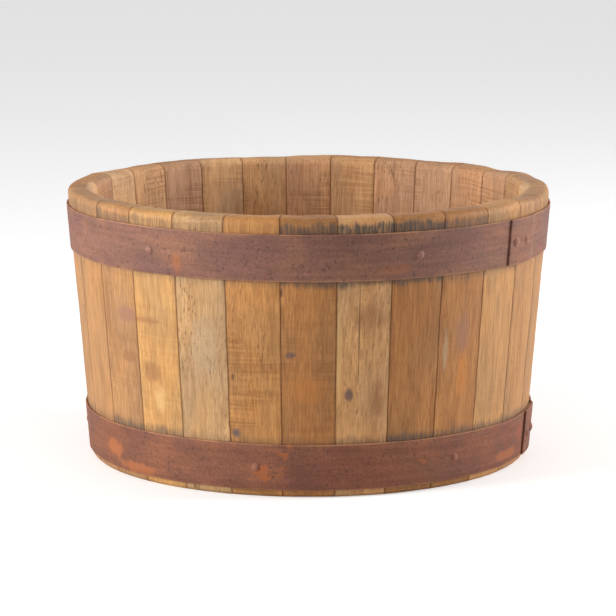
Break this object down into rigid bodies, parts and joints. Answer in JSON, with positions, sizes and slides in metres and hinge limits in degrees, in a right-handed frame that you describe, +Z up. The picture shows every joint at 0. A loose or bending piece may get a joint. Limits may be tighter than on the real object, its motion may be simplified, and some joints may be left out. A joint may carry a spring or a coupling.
{
  "type": "wooden bucket",
  "caption": "Round coopered wooden tub, wider at the rim, of upright staves and a croze-set board bottom, bound by two riveted rusty iron hoops.",
  "frame": {"origin": "centre of the foot circle, on the plane that the tub stands on", "axes": "+Z up along the tub's axis to the open rim, -Y to the front of the picture, +X to its right"},
  "size_m": [0.442, 0.442, 0.246],
  "materials": {
    "stave_wood": "bare aged hardwood, golden brown, sawn and worn smooth",
    "head_wood": "bare aged hardwood boards",
    "dowel_wood": "bare turned hardwood",
    "hoop_iron": "rust-brown wrought iron strip, matte",
    "fastener_iron": "rusty hand-hammered iron, matte"
  },
  "bodies": {
    "root": {"stave_1": "stave_wood", "stave_2": "stave_wood", "stave_3": "stave_wood", "stave_4": "stave_wood", "stave_5": "stave_wood", "stave_6": "stave_wood", "stave_7": "stave_wood", "stave_8": "stave_wood", "stave_9": "stave_wood", "stave_10": "stave_wood", "stave_11": "stave_wood", "stave_12": "stave_wood", "stave_13": "stave_wood", "stave_14": "stave_wood", "stave_15": "stave_wood", "stave_16": "stave_wood", "stave_17": "stave_wood", "stave_18": "stave_wood", "stave_19": "stave_wood", "stave_20": "stave_wood", "stave_21": "stave_wood", "stave_22": "stave_wood", "stave_23": "stave_wood", "stave_24": "stave_wood", "stave_25": "stave_wood", "stave_26": "stave_wood", "stave_27": "stave_wood", "stave_28": "stave_wood", "head_board_1": "head_wood", "head_board_2": "head_wood", "head_board_3": "head_wood", "head_board_4": "head_wood", "head_board_5": "head_wood", "head_dowels": "dowel_wood", "upper_hoop": "hoop_iron", "lower_hoop": "hoop_iron", "upper_hoop_rivets": "fastener_iron", "lower_hoop_rivets": "fastener_iron", "upper_hoop_nails": "fastener_iron", "lower_hoop_nails": "fastener_iron"}
  },
  "joints": []
}
